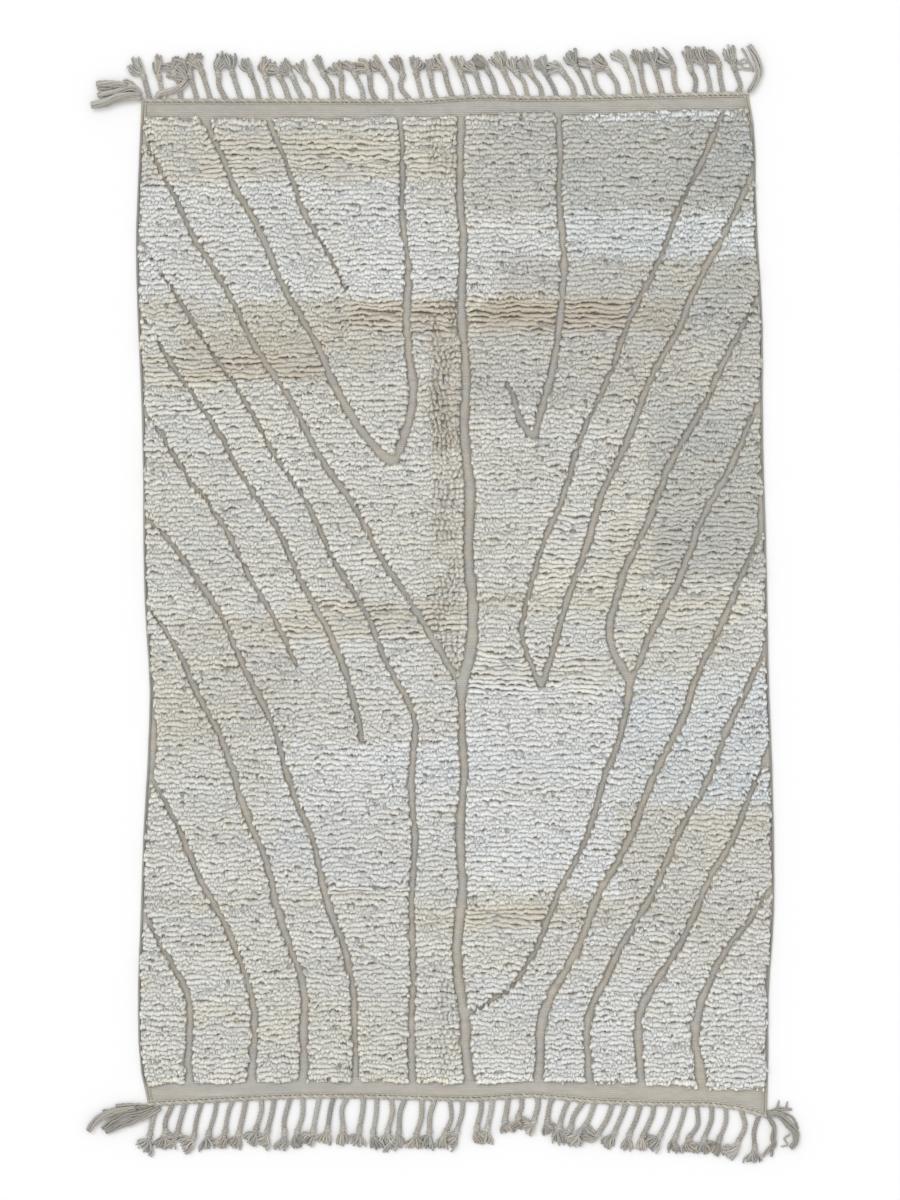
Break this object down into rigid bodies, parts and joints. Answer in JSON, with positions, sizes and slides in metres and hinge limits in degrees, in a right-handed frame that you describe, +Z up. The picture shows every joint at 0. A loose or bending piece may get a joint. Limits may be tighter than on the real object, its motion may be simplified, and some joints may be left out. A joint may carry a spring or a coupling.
{
  "type": "hand-knotted relief pile rug",
  "caption": "Cream hand-knotted wool rug lying flat: thick pile fields parted by sunken flat-woven channels, flat-woven end bands, and plaited, knotted fringe at both ends.",
  "frame": {"origin": "middle of the woven cloth on the plane of its underside, where it rests on the floor", "axes": "+Z up out of the pile; +Y along the length towards the far end of the picture (its top); +X across the width to the picture's right"},
  "size_m": [1.8431, 2.8849, 0.018],
  "materials": {
    "wool_pile": "undyed cream hand-spun wool pile, matt, with lighter and darker bands",
    "ground_weave": "flat-woven undyed wool ground, fine weft ribs",
    "warp_yarn": "plaited undyed wool and cotton warp yarn, matt"
  },
  "bodies": {
    "root": {"rug_body": "wool_pile", "fringe_top": "warp_yarn", "fringe_bottom": "warp_yarn"}
  },
  "joints": []
}
